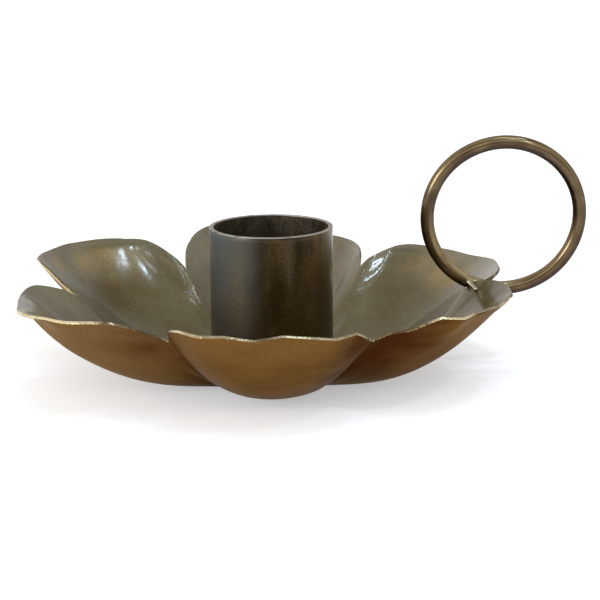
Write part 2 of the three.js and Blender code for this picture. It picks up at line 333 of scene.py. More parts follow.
def petal_skin(index, across, along, sizes):
    """Under side of one petal: across runs from -1 to 1 between its notches, along from foot to rim."""
    petal = PETALS[index]
    rim_radius, rim_height = petal_rim(index, across, sizes)
    power = petal_power(index, across, sizes)
    radius = sizes.foot_radius + (rim_radius - sizes.foot_radius) * along
    height = rim_height * along**power
    height = height + np.interp(across, CUT_AT, petal["up"]) * MM * along**SNIP_POWER
    bend, first, last = petal["lip"]
    bent = np.interp(across, (first - LIP_EASE[0], first, last, last + LIP_EASE[1]), (0, 1, 1, 0))
    rise_to_lip = np.clip((along - LIP_FROM) / (LIP_AT - LIP_FROM), 0, 1) ** 2
    fall_from_lip = np.clip((1 - along) / (1 - LIP_AT), 0, 1)
    height = height + bend * MM * bent * np.minimum(rise_to_lip, fall_from_lip)
    angle = math.pi / len(PETALS) * (2 * index - 1 + across)
    return np.stack(np.broadcast_arrays(radius * np.cos(angle), radius * np.sin(angle), height), -1)


def round_creases(skin, width):
    """Rounds the fold on each crease to about this width, and leaves the wider columns as they are."""
    steps = np.linalg.norm(np.roll(skin, -1, 0) - skin, axis=-1)
    place = np.concatenate([np.zeros((1, skin.shape[1])), np.cumsum(steps, 0)])
    whole = place[-1]
    share = (steps + np.roll(steps, 1, 0)) / 2
    rounded = skin.copy()
    for ring in range(1, skin.shape[1]):
        gap = np.abs(place[:-1, None, ring] - place[None, :-1, ring])
        gap = np.minimum(gap, whole[ring] - gap)
        weight = np.exp(-0.5 * (gap / width) ** 2) * share[None, :, ring]
        rounded[:, ring] = (weight[..., None] * skin[None, :, ring]).sum(1) / weight.sum(1)[:, None]
    return rounded


def unit(vectors):
    return vectors / np.linalg.norm(vectors, axis=-1, keepdims=True)


def skin_mesh(name, grid, poles=None, slots=None):
    """A closed mesh over columns and rows: the columns meet, and the rows meet or end in two poles."""
    columns, rows = grid.shape[:2]
    points = [tuple(p) for p in grid.reshape(-1, 3)]
    faces, faced = [], []
    for column in range(columns):
        here, there = column * rows, (column + 1) % columns * rows
        for row in range(rows if poles is None else rows - 1):
            after = (row + 1) % rows
            faces.append((here + row, there + row, there + after, here + after))
            faced.append(slots[row] if slots else 0)
        if poles is not None:
            first, last = columns * rows, columns * rows + 1
            faces += [(first, there, here), (last, here + rows - 1, there + rows - 1)]
            faced += [slots[0], slots[-1]] if slots else [0, 0]
    if poles is not None:
        points += [tuple(p) for p in poles]
    mesh = bpy.data.meshes.new(name)
    mesh.from_pydata(points, [], faces)
    mesh.polygons.foreach_set("material_index", faced)
    return closed_piece(name, mesh)


def closed_piece(name, mesh, sharp=math.radians(40)):
    """A smooth-shaded object of a mesh that has to be closed, its faces turned outwards."""
    shell = bmesh.new()
    shell.from_mesh(mesh)
    bmesh.ops.recalc_face_normals(shell, faces=shell.faces)
    if any(not edge.is_manifold for edge in shell.edges):
        raise RuntimeError(f"{name} isn't closed")
    shell.to_mesh(mesh)
    shell.free()
    mesh.polygons.foreach_set("use_smooth", [True] * len(mesh.polygons))
    mesh.set_sharp_from_angle(angle=sharp)
    piece = bpy.data.objects.new(name, mesh)
    bpy.context.scene.collection.objects.link(piece)
    return piece


def point_values(piece, name, values):
    """Numbers kept on the points for a material to read."""
    piece.data.attributes.new(name, "FLOAT", "POINT").data.foreach_set("value", values)


def flower_sheet(sizes):
    """The pressed dish: domed petals with rounded creases, a wavering surface and a snipped rim."""
    turn = np.arange(PETAL_COLUMNS) / PETAL_COLUMNS
    across = COLUMN_CROWDING * -np.cos(math.pi * turn) + (1 - COLUMN_CROWDING) * (2 * turn - 1)
    along = 1 - (1 - np.linspace(0, 1, PETAL_RINGS + 1)) ** RING_CROWDING
    petals = [petal_skin(i, across[:, None], along[None, :], sizes) for i in range(len(PETALS))]
    under = round_creases(np.concatenate(petals), CREASE_WIDTH)
    waver = sum(high * wobble(under, wide, seed) for high, wide, seed in SPOTS)
    under[..., 2] += waver * np.clip(SPOTS_START * along, 0, 1)[None, :] * along[None, :]
    round_way = np.roll(under, -1, 0) - np.roll(under, 1, 0)
    out_way = np.gradient(under, axis=1)
    normal = unit(np.cross(out_way, round_way))
    normal[:, 0] = (0, 0, 1)
    over = under + sizes.sheet * normal
    # The sheet is beaten thinner towards the rim
    left = []
    for petal in PETALS:
        shares = (CREASE_SHEET, petal["sheet"], petal["sheet"], CREASE_SHEET)
        left.append(np.interp(across, (-1, -CREASE_FROM, CREASE_FROM, 1), shares))
    beaten = (1 - np.concatenate(left))[:, None] * np.interp(along, (THIN_FROM, 1), (0, 1))
    thick = sizes.sheet * (1 - beaten)[..., None]
    under = over - thick * normal

    rim_out = unit(out_way[:, -1])
    burr = (BURR + BURR_CHANGE * wobble(under[:, -1], BURR_TOOTH, BURR_SEED))[:, None] * rim_out
    edge = thick[:, -1] * normal[:, -1]
    edges = [under[:, -1] + share * edge + stand * burr for share, stand in EDGE_ROWS]
    foot = [under[:, 0] * np.array((share, share, 1)) for share in FOOT_RINGS]
    floor = [over[:, 0] * np.array((share, share, 1)) for share in FOOT_RINGS[::-1]]
    rows = [*foot, *under.swapaxes(0, 1), *edges, *over[:, ::-1].swapaxes(0, 1), *floor]
    skin_rows = len(foot) + PETAL_RINGS + 1
    slots = [OUTSIDE] * skin_rows + [CUT_EDGE] * len(edges) + [INSIDE] * skin_rows
    dish = skin_mesh("flower_dish_sheet", np.stack(rows, 1), ((0, 0, 0), (0, 0, sizes.sheet)), slots)
    sides = np.tile(across, len(PETALS))
    rises = [*[0] * len(foot), *along, *[1] * len(edges), *along[::-1], *[0] * len(floor)]
    bare = np.concatenate([np.interp(across, BARE_AT, petal["bare"]) for petal in PETALS])
    stains = np.zeros((len(PETALS), len(across), len(rises)))
    for petal, middle, rise, wide, deep, depth in STAINS:
        reach = ((across[:, None] - middle) / wide) ** 2 + ((np.array(rises) - rise) / deep) ** 2
        stains[petal] += depth * np.exp(-reach)
    point_values(dish, "stain", [*np.minimum(stains, 1).ravel(), 0, 0])
    point_values(dish, "along", [*np.tile(rises, len(sides)), 0, 0])
    point_values(dish, "side", [*np.repeat(np.abs(sides), len(rises)), 0, 0])
    point_values(dish, "bare", [*np.repeat(bare, len(rises)), 0, 0])
    return dish


def turned_grid(outline, sides, waver=0.0):
    """An outline of radius and height, turned round the cup's axis, its radius wavering by hand."""
    angles = 2 * math.pi * np.arange(sides) / sides
    ring = np.stack([np.cos(angles), np.sin(angles), 0 * angles], -1)
    outline = np.array(outline)
    grid = ring[:, None] * outline[None, :, :1]
    grid[..., 2] = outline[:, 1]
    if waver:
        grid[..., :2] *= 1 + (waver * wobble(grid, WAVER_SIZE, WAVER_SEED) / outline[:, 0])[..., None]
    return grid


def cup_outline(sizes):
    """The cup from the middle of its underside, up the wall, over the lip and down to its floor."""
    bore, swell, low, top = sizes.cup_bore, sizes.lip_swell, sizes.sheet, sizes.cup_top
    wall, floor = bore + sizes.cup_wall, low + sizes.cup_wall
    lip = wall + swell
    outline = [(0.5 * wall, low), (wall - CUP_EASE, low)]
    outline += [(wall, height) for height in np.linspace(low + CUP_EASE, top - 4 * MM, CUP_RINGS)]
    # The lip swells over the last 4 mm and its edges are rubbed round
    outline += [(wall + 0.3 * swell, top - 2 * MM), (wall + 0.75 * swell, top - 1 * MM)]
    outline += [(lip, top - 0.12 * MM), (lip - 0.04 * MM, top - 0.03 * MM), (lip - 0.12 * MM, top)]
    outline += [(bore + 0.12 * MM, top), (bore + 0.03 * MM, top - 0.04 * MM)]
    outline += [(bore, height) for height in np.linspace(top - 0.14 * MM, floor + 0.6 * MM, BORE_RINGS)]
    # The wall turns into the floor in a small round
    return outline + [(bore - 0.15 * MM, floor + 0.15 * MM), (bore - 0.6 * MM, floor), (4 * MM, floor)]


def ring_frame(sizes):
    """Where the ring is seated in its notch, and how it leans to the front and turns."""
    seat = Vector((sizes.notch_radius + SEAT_OUT, 0, sizes.ring_notch_height + SEAT_UP))
    turn, lean = Matrix.Rotation(RING_TURN, 4, "Z"), Matrix.Rotation(RING_LEAN, 4, "X")
    return Matrix.Translation(seat) @ turn @ lean


def ring_grid(sizes):
    """Round wire bent to a ring that passes through its seat."""
    middle = np.array((math.sin(SEAT_ANGLE), 0, math.cos(SEAT_ANGLE))) * sizes.ring_radius
    around = 2 * math.pi * np.arange(RING_STEPS) / RING_STEPS
    out_way = np.stack([np.cos(around), 0 * around, np.sin(around)], -1)
    bend = middle + sizes.ring_radius * out_way
    bend = bend + out_way * (BEND_WAVER * wobble(bend, BEND_SIZE, BEND_SEED))[:, None]
    girth = (2 * math.pi * np.arange(WIRE_SIDES) / WIRE_SIDES)[None, :, None]
    offset = np.cos(girth) * out_way[:, None] + np.sin(girth) * np.array((0, 1, 0))
    grid = bend[:, None] + sizes.wire_radius * offset
    matrix = np.array(ring_frame(sizes))
    return grid @ matrix[:3, :3].T + matrix[:3, 3]


def solder_lump(name, drops):
    """Drops of solder that ran together: each is a place, a radius and a stretch."""
    lumps = bmesh.new()
    for place, radius, stretch in drops:
        scale = Matrix.Diagonal((*[radius * MM * share for share in stretch], 1))
        matrix = Matrix.Translation(Vector(place) * MM) @ scale
        bmesh.ops.create_icosphere(lumps, subdivisions=3, radius=1.0, matrix=matrix)
    mesh = bpy.data.meshes.new(name)
    lumps.to_mesh(mesh)
    lumps.free()
    rough = bpy.data.objects.new(name + "_rough", mesh)
    bpy.context.scene.collection.objects.link(rough)
    melt = rough.modifiers.new("melt", "REMESH")
    melt.mode, melt.voxel_size = "VOXEL", 0.1 * MM
    flow = rough.modifiers.new("flow", "SMOOTH")
    flow.factor, flow.iterations = 0.5, 6
    graph = bpy.context.evaluated_depsgraph_get()
    melted = bpy.data.meshes.new_from_object(rough.evaluated_get(graph))
    melted.name = name
    bpy.data.objects.remove(rough)
    return closed_piece(name, melted, math.pi)


# Materials


def add(tree, kind, inputs=None, **settings):
    """Adds a node with its settings, and with each input set to a value or linked to a socket.

    A node given as an input stands for the first of its outputs that is in use."""
    node = tree.nodes.new(kind)
    for name, value in settings.items():
        setattr(node, name, value)
    for name, value in (inputs or {}).items():
        if isinstance(value, bpy.types.Node):
            value = next(socket for socket in value.outputs if socket.enabled)
        if isinstance(value, bpy.types.NodeSocket):
            tree.links.new(value, node.inputs[name])
        else:
            node.inputs[name].default_value = value
    return node


def new_material(name):
    """An empty material and its node tree."""
    material = bpy.data.materials.new(name)
    material.use_nodes = True
    material.node_tree.nodes.clear()
    return material, material.node_tree


def rgba(colour_value):
    return (*colour_value, 1.0)


def lacquered_patina(finish):
    """Antiqued brass under lacquer: pressed sheet, pickled to an olive brown and sprayed.

    The eye sees a cloudy olive with a fine gold grain, clear window lights on the lacquer, and painted light
    in the colour."""
    material, tree = new_material("antiqued_brass_lacquered")
    place = add(tree, "ShaderNodeTexCoord").outputs["Object"]
    along = add(tree, "ShaderNodeAttribute", attribute_name="along").outputs["Fac"]
    side = add(tree, "ShaderNodeAttribute", attribute_name="side").outputs["Fac"]
    cloud = add(tree, "ShaderNodeTexNoise", {"Vector": place, "Scale": 1 / (16 * MM), "Detail": 4.0})
    # The gold grain is finer than a pixel, so it is drawn at 0.45 mm
    grain = add(tree, "ShaderNodeTexNoise", {"Vector": place, "Scale": 1 / (0.45 * MM), "Detail": 1.0})
    dents = add(tree, "ShaderNodeTexNoise", {"Vector": place, "Scale": 1 / (3.5 * MM), "Detail": 2.0})
    # Paler towards the rim: rubbed patina, and a painted reflection of the bright walls on the lips
    rubbed = add(tree, "ShaderNodeMapRange", {0: along, 1: 0.78, 2: 1.0, 3: 0.0, 4: 0.3})
    thin = add(tree, "ShaderNodeMath", {0: cloud, 1: rubbed}, operation="ADD")
    share = add(tree, "ShaderNodeMapRange", {0: thin, 1: 0.36, 2: 0.7})
    tone = add(tree, "ShaderNodeMix", {
        0: share, 6: rgba(finish.inside_dark), 7: rgba(finish.inside_pale),
    }, data_type="RGBA")
    # Gold high in the middle of each bowl: brass showing through, and a painted glow of the window lights
    middle = add(tree, "ShaderNodeMapRange", {0: side, 1: 0.25, 2: 0.8, 3: 0.8, 4: 0.0})
    fleck = add(tree, "ShaderNodeTexNoise", {"Vector": place, "Scale": 1 / (9 * MM), "Detail": 5.0})
    worn = add(tree, "ShaderNodeMapRange", {0: fleck, 1: 0.42, 2: 0.62})
    upper = add(tree, "ShaderNodeMapRange", {0: along, 1: 0.74, 2: 0.9})
    lip = add(tree, "ShaderNodeMapRange", {0: along, 1: 0.92, 2: 0.98, 3: 1.0, 4: 0.2})
    band = add(tree, "ShaderNodeMath", {0: upper, 1: lip}, operation="MULTIPLY")
    high = add(tree, "ShaderNodeMath", {0: middle, 1: band}, operation="MULTIPLY")
    gilt = add(tree, "ShaderNodeMath", {0: high, 1: worn}, operation="MULTIPLY")
    golden = add(tree, "ShaderNodeMix", {
        0: gilt, 6: tone, 7: rgba(finish.inside_gold),
    }, data_type="RGBA")
    # Dark marks: stains, and painted shade and reflection, darkest on the petal in front of the ring
    stain = add(tree, "ShaderNodeAttribute", attribute_name="stain").outputs["Fac"]
    stained = add(tree, "ShaderNodeMix", {
        0: stain, 6: golden, 7: rgba(finish.inside_stain),
    }, data_type="RGBA")
    spark = add(tree, "ShaderNodeMapRange", {0: grain, 1: 0.3, 2: 0.7, 3: 0.86, 4: 1.14})
    grained = add(tree, "ShaderNodeVectorMath", {0: stained, "Scale": spark}, operation="SCALE")
    # The lacquer is dull with dust low in the bowls and in the creases
    wiped = add(tree, "ShaderNodeMapRange", {0: along, 1: 0.7, 2: 0.82, 3: 0.65, 4: 1.0})
    fold = add(tree, "ShaderNodeMapRange", {0: side, 1: 0.88, 2: 0.95, 3: 1.0, 4: 0.75})
    gloss = add(tree, "ShaderNodeMath", {0: wiped, 1: fold}, operation="MULTIPLY")
    satin = add(tree, "ShaderNodeMapRange", {0: cloud, 1: 0.3, 2: 0.7, 3: 0.46, 4: 0.54})
    hollow = add(tree, "ShaderNodeBump", {"Height": dents, "Distance": 0.014 * MM})
    peel = add(tree, "ShaderNodeBump", {"Height": grain, "Distance": 0.0095 * MM, "Normal": hollow})
    skin = add(tree, "ShaderNodeBsdfPrincipled", {
        "Base Color": grained, "Metallic": 1.0, "Roughness": satin,
        "Coat Weight": gloss, "Coat Roughness": 0.14, "Coat IOR": 1.5,
        "Normal": peel, "Coat Normal": peel,
    })
    add(tree, "ShaderNodeOutputMaterial", {"Surface": skin})
    return material


def browned_back(finish):
    """Heat-browned brass: the backs of the petals, left satin from the flame.

    The eye sees warm red browns, darkened by painted shade towards the creases and the foot, and gold higher
    up."""
    material, tree = new_material("heat_browned_brass")
    place = add(tree, "ShaderNodeTexCoord").outputs["Object"]
    side = add(tree, "ShaderNodeAttribute", attribute_name="side").outputs["Fac"]
    along = add(tree, "ShaderNodeAttribute", attribute_name="along").outputs["Fac"]
    level = add(tree, "ShaderNodeMapping", {"Vector": place, "Scale": (1.0, 1.0, 2.5)})
    cloud = add(tree, "ShaderNodeTexNoise", {"Vector": level, "Scale": 1 / (14 * MM), "Detail": 4.0})
    # The grain of the fire scale is finer than a pixel, so it is drawn at 0.6 mm
    grain = add(tree, "ShaderNodeTexNoise", {"Vector": place, "Scale": 1 / (0.6 * MM), "Detail": 3.0})
    # Darker towards the creases and low on the backs: painted shade in the valleys and near the table
    crease = add(tree, "ShaderNodeMapRange", {0: side, 1: 0.4, 2: 0.95, 3: 0.0, 4: -0.5})
    bulge = add(tree, "ShaderNodeMapRange", {0: along, 1: 0.3, 2: 0.9, 3: -0.2, 4: 0.1})
    # Darker towards the ring's side
    axes = add(tree, "ShaderNodeSeparateXYZ", {"Vector": place}).outputs
    ring_way = axes["X"]
    torch = add(tree, "ShaderNodeMapRange", {0: ring_way, 1: -18 * MM, 2: 14 * MM, 3: 0.2, 4: -0.25})
    both = add(tree, "ShaderNodeMath", {0: crease, 1: bulge}, operation="ADD")
    heat = add(tree, "ShaderNodeMath", {0: torch, 1: both}, operation="ADD")
    gold = add(tree, "ShaderNodeMath", {0: cloud, 1: heat}, operation="ADD")
    share = add(tree, "ShaderNodeMapRange", {0: gold, 1: 0.0, 2: 0.62})
    tone = add(tree, "ShaderNodeMix", {
        0: share, 6: rgba(finish.outside_dark), 7: rgba(finish.outside_gold),
    }, data_type="RGBA")
    paler = add(tree, "ShaderNodeMapRange", {0: ring_way, 1: -32 * MM, 2: -6 * MM, 3: 0.5, 4: 0.0})
    tanned = add(tree, "ShaderNodeMath", {0: paler, 1: share}, operation="MULTIPLY")
    warm = add(tree, "ShaderNodeMix", {
        0: tanned, 6: tone, 7: rgba(finish.outside_tan),
    }, data_type="RGBA")
    # The lip across from the ring was dressed with a file, on the far side
    far = add(tree, "ShaderNodeMapRange", {0: axes["Y"], 1: -0.5 * MM, 2: 1.5 * MM, 3: 0.0, 4: 0.7})
    off = add(tree, "ShaderNodeMapRange", {0: ring_way, 1: -32 * MM, 2: -26 * MM, 3: 1.0, 4: 0.0})
    lip = add(tree, "ShaderNodeMapRange", {0: along, 1: 0.93, 2: 0.97})
    corner = add(tree, "ShaderNodeMath", {0: far, 1: off}, operation="MULTIPLY")
    filed = add(tree, "ShaderNodeMath", {0: corner, 1: lip}, operation="MULTIPLY")
    dressed = add(tree, "ShaderNodeMix", {
        0: filed, 6: warm, 7: rgba(finish.cut_edge),
    }, data_type="RGBA")
    spark = add(tree, "ShaderNodeMapRange", {0: grain, 1: 0.3, 2: 0.7, 3: 0.88, 4: 1.12})
    # Darker towards the foot: painted shade of the table close under the backs
    foot = add(tree, "ShaderNodeMapRange", {0: along, 1: 0.15, 2: 0.6, 3: 0.45, 4: 1.0})
    depth = add(tree, "ShaderNodeMath", {0: spark, 1: foot}, operation="MULTIPLY")
    grained = add(tree, "ShaderNodeVectorMath", {0: dressed, "Scale": depth}, operation="SCALE")
    satin = add(tree, "ShaderNodeMapRange", {0: cloud, 1: 0.3, 2: 0.7, 3: 0.46, 4: 0.38})
    peel = add(tree, "ShaderNodeBump", {"Height": grain, "Distance": 0.008 * MM})
    skin = add(tree, "ShaderNodeBsdfPrincipled", {
        "Base Color": grained, "Metallic": 1.0, "Roughness": satin,
        "Specular Tint": rgba(linear(BACK_GLANCE)), "Normal": peel,
    })
    add(tree, "ShaderNodeOutputMaterial", {"Surface": skin})
    return material


def snipped_edge(finish):
    """Bare brass where shears cut the rim: short torn facets that glint, stained where it was handled."""
    material, tree = new_material("bare_snipped_brass")
    place = add(tree, "ShaderNodeTexCoord").outputs["Object"]
    bare = add(tree, "ShaderNodeAttribute", attribute_name="bare").outputs["Fac"]
    tear = add(tree, "ShaderNodeTexNoise", {"Vector": place, "Scale": 1 / (0.7 * MM), "Detail": 3.0})
    stain = add(tree, "ShaderNodeTexNoise", {"Vector": place, "Scale": 1 / (2.5 * MM), "Detail": 4.0})
    mixed = add(tree, "ShaderNodeMath", {0: stain, 1: bare}, operation="ADD")
    share = add(tree, "ShaderNodeMapRange", {0: mixed, 1: 0.7, 2: 1.35})
    tone = add(tree, "ShaderNodeMix", {
        0: share, 6: rgba(finish.edge_stain), 7: rgba(finish.cut_edge),
    }, data_type="RGBA")
    facets = add(tree, "ShaderNodeBump", {"Height": tear, "Distance": 0.16 * MM})
    skin = add(tree, "ShaderNodeBsdfPrincipled", {
        "Base Color": tone, "Metallic": 1.0, "Roughness": 0.27, "Normal": facets,
    })
    add(tree, "ShaderNodeOutputMaterial", {"Surface": skin})
    return material


def darkened_cup(finish):
    """Drawn brass tube, darkened to a deep brown and lacquered: painted soft upright lights, a few dust
    specks.
    """
    material, tree = new_material("darkened_brass_lacquered")
    place = add(tree, "ShaderNodeTexCoord").outputs["Object"]
    drawn = add(tree, "ShaderNodeMapping", {"Vector": place, "Scale": (1.0, 1.0, 0.35)})
    # Upright streaks: the drawn tube's uneven tone, and painted reflections of soft upright lights
    streak = add(tree, "ShaderNodeTexNoise", {"Vector": drawn, "Scale": 1 / (6 * MM), "Detail": 5.0})
    # The grain under the lacquer is finer than a pixel, so it is drawn at 0.45 mm
    grain = add(tree, "ShaderNodeTexNoise", {"Vector": place, "Scale": 1 / (0.45 * MM), "Detail": 2.0})
    # Dust specks of about 0.25 mm, a few to a square centimetre
    speck = add(tree, "ShaderNodeTexVoronoi", {"Vector": place, "Scale": 1 / (2.2 * MM)})
    dust = add(tree, "ShaderNodeMapRange", {0: speck, 1: 0.05, 2: 0.09, 3: 1.0, 4: 0.0})
    some = add(tree, "ShaderNodeMapRange", {0: grain, 1: 0.52, 2: 0.6})
    dusty = add(tree, "ShaderNodeMath", {0: dust, 1: some}, operation="MULTIPLY")
    axes = add(tree, "ShaderNodeSeparateXYZ", {"Vector": place}).outputs
    ring_way = axes["X"]
    # Browner towards the ring's side
    handled = add(tree, "ShaderNodeMapRange", {0: ring_way, 1: 2 * MM, 2: 9 * MM, 3: 0.0, 4: 0.25})
    heated = add(tree, "ShaderNodeMapRange", {0: axes["Z"], 1: 8 * MM, 2: 20 * MM, 3: 0.3, 4: 0.0})
    # Darker near the top: a painted dimmer reflection of the ceiling
    sooted = add(tree, "ShaderNodeMapRange", {0: axes["Z"], 1: 22 * MM, 2: 27 * MM, 3: 0.0, 4: -0.1})
    fired = add(tree, "ShaderNodeMath", {0: heated, 1: sooted}, operation="ADD")
    both = add(tree, "ShaderNodeMath", {0: handled, 1: fired}, operation="ADD")
    thin = add(tree, "ShaderNodeMath", {0: streak, 1: both}, operation="ADD")
    share = add(tree, "ShaderNodeMapRange", {0: thin, 1: 0.36, 2: 0.66})
    wall = add(tree, "ShaderNodeMix", {
        0: share, 6: rgba(finish.cup_dark), 7: rgba(finish.cup_brown),
    }, data_type="RGBA")
    spark = add(tree, "ShaderNodeMapRange", {0: grain, 1: 0.3, 2: 0.7, 3: 0.7, 4: 1.3})
    grained = add(tree, "ShaderNodeVectorMath", {0: wall, "Scale": spark}, operation="SCALE")
    # A grey bloom on the side away from the ring: a painted reflection of the room's bright left side, where
    # the lacquer is duller too
    thick = add(tree, "ShaderNodeMath", {0: streak, 1: 8 * MM, 2: ring_way}, operation="MULTIPLY_ADD")
    most = add(tree, "ShaderNodeMapRange", {0: axes["Z"], 1: 10 * MM, 2: 30 * MM, 3: 0.55, 4: 1.0})
    bloom = add(tree, "ShaderNodeMapRange", {
        0: thick, 1: 4.5 * MM, 2: -6 * MM, 3: 0.0, 4: most,
    }, interpolation_type="SMOOTHSTEP")
    waxed = add(tree, "ShaderNodeMix", {
        0: bloom, 6: grained, 7: rgba(finish.cup_bloom),
    }, data_type="RGBA")
    tone = add(tree, "ShaderNodeMix", {0: dusty, 6: waxed, 7: rgba(finish.cup_lip)}, data_type="RGBA")
    satin = add(tree, "ShaderNodeMapRange", {0: streak, 1: 0.3, 2: 0.7, 3: 0.3, 4: 0.4})
    dull = add(tree, "ShaderNodeMath", {0: bloom, 1: 0.35, 2: satin}, operation="MULTIPLY_ADD")
    clear = add(tree, "ShaderNodeMapRange", {0: bloom, 3: 0.3, 4: 0.15})
    peel = add(tree, "ShaderNodeBump", {"Height": grain, "Distance": 0.01 * MM})
    skin = add(tree, "ShaderNodeBsdfPrincipled", {
        "Base Color": tone, "Metallic": 1.0, "Roughness": dull,
        "Coat Weight": clear, "Coat Roughness": 0.2, "Coat IOR": 1.5, "Normal": peel,
    })
    add(tree, "ShaderNodeOutputMaterial", {"Surface": skin})
    return material


def sooted_bore(finish):
    """Inside of the cup: brass dulled by soot and wax, with pale crumbs that stay in the corners."""
    material, tree = new_material("sooted_brass_bore")
    place = add(tree, "ShaderNodeTexCoord").outputs["Object"]
    soot = add(tree, "ShaderNodeTexNoise", {
        "Vector": place, "Scale": 1 / (4 * MM), "Detail": 5.0, "Roughness": 0.6,
    })
    crumb = add(tree, "ShaderNodeTexNoise", {"Vector": place, "Scale": 1 / (0.5 * MM), "Detail": 2.0})
    share = add(tree, "ShaderNodeMapRange", {0: soot, 1: 0.36, 2: 0.68})
    tone = add(tree, "ShaderNodeMix", {
        0: share, 6: rgba(finish.cup_dark), 7: rgba(finish.cup_inside),
    }, data_type="RGBA")
    spark = add(tree, "ShaderNodeMapRange", {0: crumb, 1: 0.3, 2: 0.7, 3: 0.7, 4: 1.3})
    grained = add(tree, "ShaderNodeVectorMath", {0: tone, "Scale": spark}, operation="SCALE")
    peel = add(tree, "ShaderNodeBump", {"Height": crumb, "Distance": 0.02 * MM})
    skin = add(tree, "ShaderNodeBsdfPrincipled", {
        "Base Color": grained, "Metallic": 0.7, "Roughness": 0.62, "Normal": peel,
    })
    add(tree, "ShaderNodeOutputMaterial", {"Surface": skin})
    return material


def sawn_lip(finish):
    """Sawn and rubbed end of the tube: a thin grey line with a few brown stains."""
    material, tree = new_material("sawn_brass_lip")
    place = add(tree, "ShaderNodeTexCoord").outputs["Object"]
    wear = add(tree, "ShaderNodeTexNoise", {"Vector": place, "Scale": 1 / (2.5 * MM), "Detail": 3.0})
    # Saw marks are finer than a pixel, so they are drawn at 0.4 mm
    saw = add(tree, "ShaderNodeTexNoise", {"Vector": place, "Scale": 1 / (0.4 * MM), "Detail": 2.0})
    share = add(tree, "ShaderNodeMapRange", {0: wear, 1: 0.28, 2: 0.45})
    tone = add(tree, "ShaderNodeMix", {
        0: share, 6: rgba(finish.cup_inside), 7: rgba(finish.cup_lip),
    }, data_type="RGBA")
    marks = add(tree, "ShaderNodeBump", {"Height": saw, "Distance": 0.02 * MM})
    skin = add(tree, "ShaderNodeBsdfPrincipled", {
        "Base Color": tone, "Metallic": 1.0, "Roughness": 0.5, "Normal": marks,
    })
    add(tree, "ShaderNodeOutputMaterial", {"Surface": skin})
    return material


def drawn_wire(finish):
    """Drawn brass wire, browned and lacquered: olive in painted light on top, brown in painted shade below,
    a painted pale highlight.
    """
    material, tree = new_material("drawn_brass_wire")
    place = add(tree, "ShaderNodeTexCoord").outputs["Object"]
    cloud = add(tree, "ShaderNodeTexNoise", {"Vector": place, "Scale": 1 / (7 * MM), "Detail": 4.0})
    # The drawing marks are finer than a pixel, so they are drawn at 0.4 mm
    grain = add(tree, "ShaderNodeTexNoise", {"Vector": place, "Scale": 1 / (0.4 * MM), "Detail": 3.0})
    upward = add(tree, "ShaderNodeAttribute", attribute_name="upward").outputs["Fac"]
    # Olive on the upper side and brown below: painted light from above and painted shade below
    held = add(tree, "ShaderNodeMath", {0: upward, 1: 0.6, 2: cloud}, operation="MULTIPLY_ADD")
    axes = add(tree, "ShaderNodeSeparateXYZ", {"Vector": place}).outputs
    # The thumb rests low on the side next to the cup
    low_in = add(tree, "ShaderNodeMath", {0: axes["X"], 1: axes["Z"]}, operation="ADD")
    thumb = add(tree, "ShaderNodeMapRange", {0: low_in, 1: 52 * MM, 2: 66 * MM, 3: 0.45, 4: 0.0})
    # The painted light is added to the paler patch where the thumb rests
    rubbed = add(tree, "ShaderNodeMath", {0: held, 1: thumb}, operation="ADD")
    share = add(tree, "ShaderNodeMapRange", {0: rubbed, 1: 0.3, 2: 1.05})
    tone = add(tree, "ShaderNodeMix", {
        0: share, 6: rgba(finish.wire_dark), 7: rgba(finish.wire_pale),
    }, data_type="RGBA")
    # A painted pale highlight along the top of the wire low beside the cup, in the bare edge's colour
    crest = add(tree, "ShaderNodeMapRange", {0: upward, 1: 0.35, 2: 0.75, 3: 0.0, 4: 1.6})
    worn = add(tree, "ShaderNodeMath", {0: crest, 1: thumb}, operation="MULTIPLY")
    bright = add(tree, "ShaderNodeMix", {0: worn, 6: tone, 7: rgba(finish.cut_edge)}, data_type="RGBA")
    spark = add(tree, "ShaderNodeMapRange", {0: grain, 1: 0.3, 2: 0.7, 3: 0.84, 4: 1.16})
    grained = add(tree, "ShaderNodeVectorMath", {0: bright, "Scale": spark}, operation="SCALE")
    peel = add(tree, "ShaderNodeBump", {"Height": grain, "Distance": 0.008 * MM})
    skin = add(tree, "ShaderNodeBsdfPrincipled", {
        "Base Color": grained, "Metallic": 1.0, "Roughness": 0.28,
        "Specular Tint": rgba(linear(WIRE_GLANCE)), "Normal": peel,
        "Coat Weight": 0.5, "Coat Roughness": 0.1, "Coat IOR": 1.5,
    })
    add(tree, "ShaderNodeOutputMaterial", {"Surface": skin})
    return material


def bare_solder(finish):
    """Tin solder, set from the melt: pale and smooth, dimpled, with brown flux in the hollows."""
    material, tree = new_material("tin_solder")
    place = add(tree, "ShaderNodeTexCoord").outputs["Object"]
    flux = add(tree, "ShaderNodeTexNoise", {"Vector": place, "Scale": 1 / (1.5 * MM), "Detail": 3.0})
    share = add(tree, "ShaderNodeMapRange", {0: flux, 1: 0.3, 2: 0.6})
    tone = add(tree, "ShaderNodeMix", {
        0: share, 6: rgba(finish.wire_pale), 7: rgba(finish.solder),
    }, data_type="RGBA")
    dimple = add(tree, "ShaderNodeBump", {"Height": flux, "Distance": 0.04 * MM})
    skin = add(tree, "ShaderNodeBsdfPrincipled", {
        "Base Color": tone, "Metallic": 1.0, "Roughness": 0.32, "Normal": dimple,
    })
    add(tree, "ShaderNodeOutputMaterial", {"Surface": skin})
    return material


